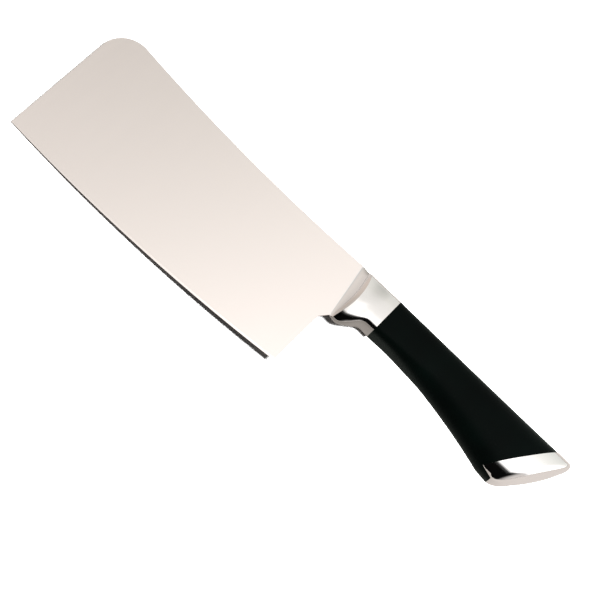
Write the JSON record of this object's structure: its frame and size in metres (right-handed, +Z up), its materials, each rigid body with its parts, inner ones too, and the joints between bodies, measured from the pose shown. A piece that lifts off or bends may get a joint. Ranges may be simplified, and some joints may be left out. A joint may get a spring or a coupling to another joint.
{
  "type": "chinese cleaver",
  "caption": "Broad rectangular kitchen cleaver with a steel bolster and finger guard, a soft black grip and a slanted steel end cap, lying on its side.",
  "frame": {"origin": "centre of the bounding box on the table that the knife lies on", "axes": "+X along the knife from the square tip to the butt, +Y from the cutting edge to the spine, +Z up from the table"},
  "size_m": [0.3248, 0.0836, 0.0227],
  "materials": {
    "blade_steel": "fine satin, near mirror",
    "polished_steel": "polished",
    "plain_steel": "as turned",
    "core_plastic": "as moulded",
    "grip_rubber": "smooth soft touch"
  },
  "bodies": {
    "root": {"blade": "blade_steel", "bolster": "polished_steel", "tang": "plain_steel", "handle_core": "core_plastic", "grip_skin": "grip_rubber", "washer": "plain_steel", "tang_nut": "plain_steel", "end_cap": "polished_steel", "cap_pins": "plain_steel"}
  },
  "joints": []
}
